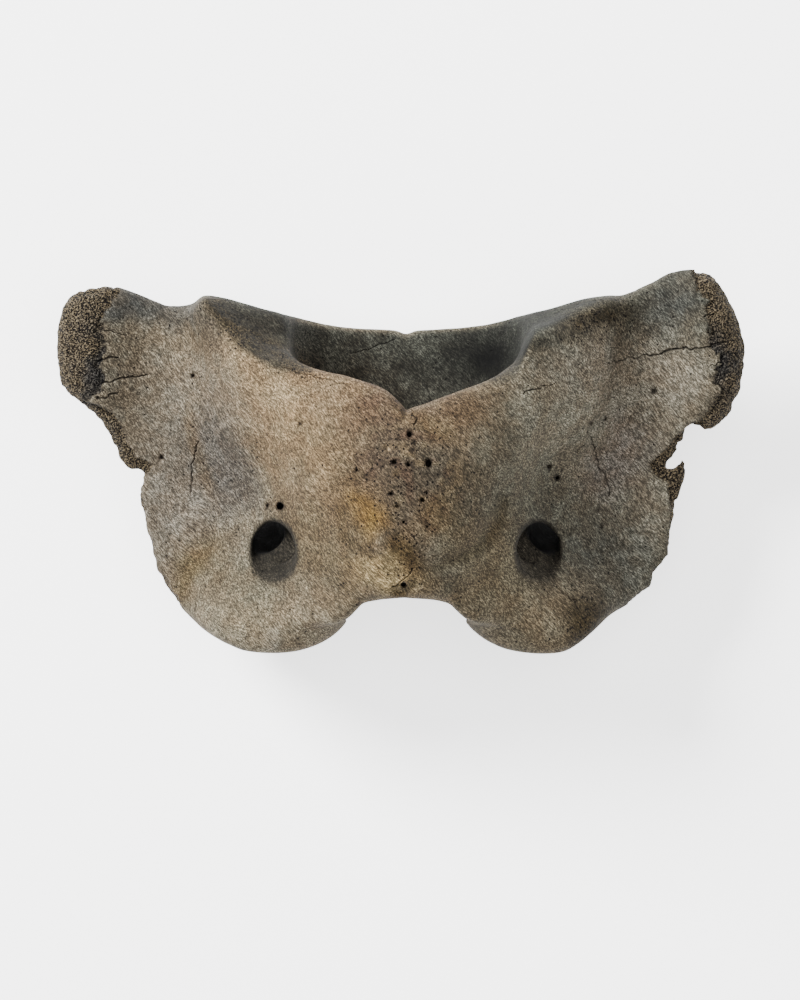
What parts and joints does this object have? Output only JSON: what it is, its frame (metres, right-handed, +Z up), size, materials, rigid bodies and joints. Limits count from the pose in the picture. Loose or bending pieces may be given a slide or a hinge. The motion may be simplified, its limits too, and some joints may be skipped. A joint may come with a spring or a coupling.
{
  "type": "cow atlas vertebra",
  "caption": "Weathered cow atlas, the first neck bone: a broad ring with two wings, two cups for the skull and a sloping joint face towards the tail.",
  "frame": {"origin": "middle of the footprint, on the surface the bone lies on", "axes": "+X across the wings to the right in the picture, +Y towards the tail end, +Z up through the dorsal arch"},
  "size_m": [0.16, 0.0892, 0.0748],
  "materials": {
    "weathered_bone": "matte, dry and fibrous"
  },
  "bodies": {
    "root": {"atlas": "weathered_bone"}
  },
  "joints": []
}
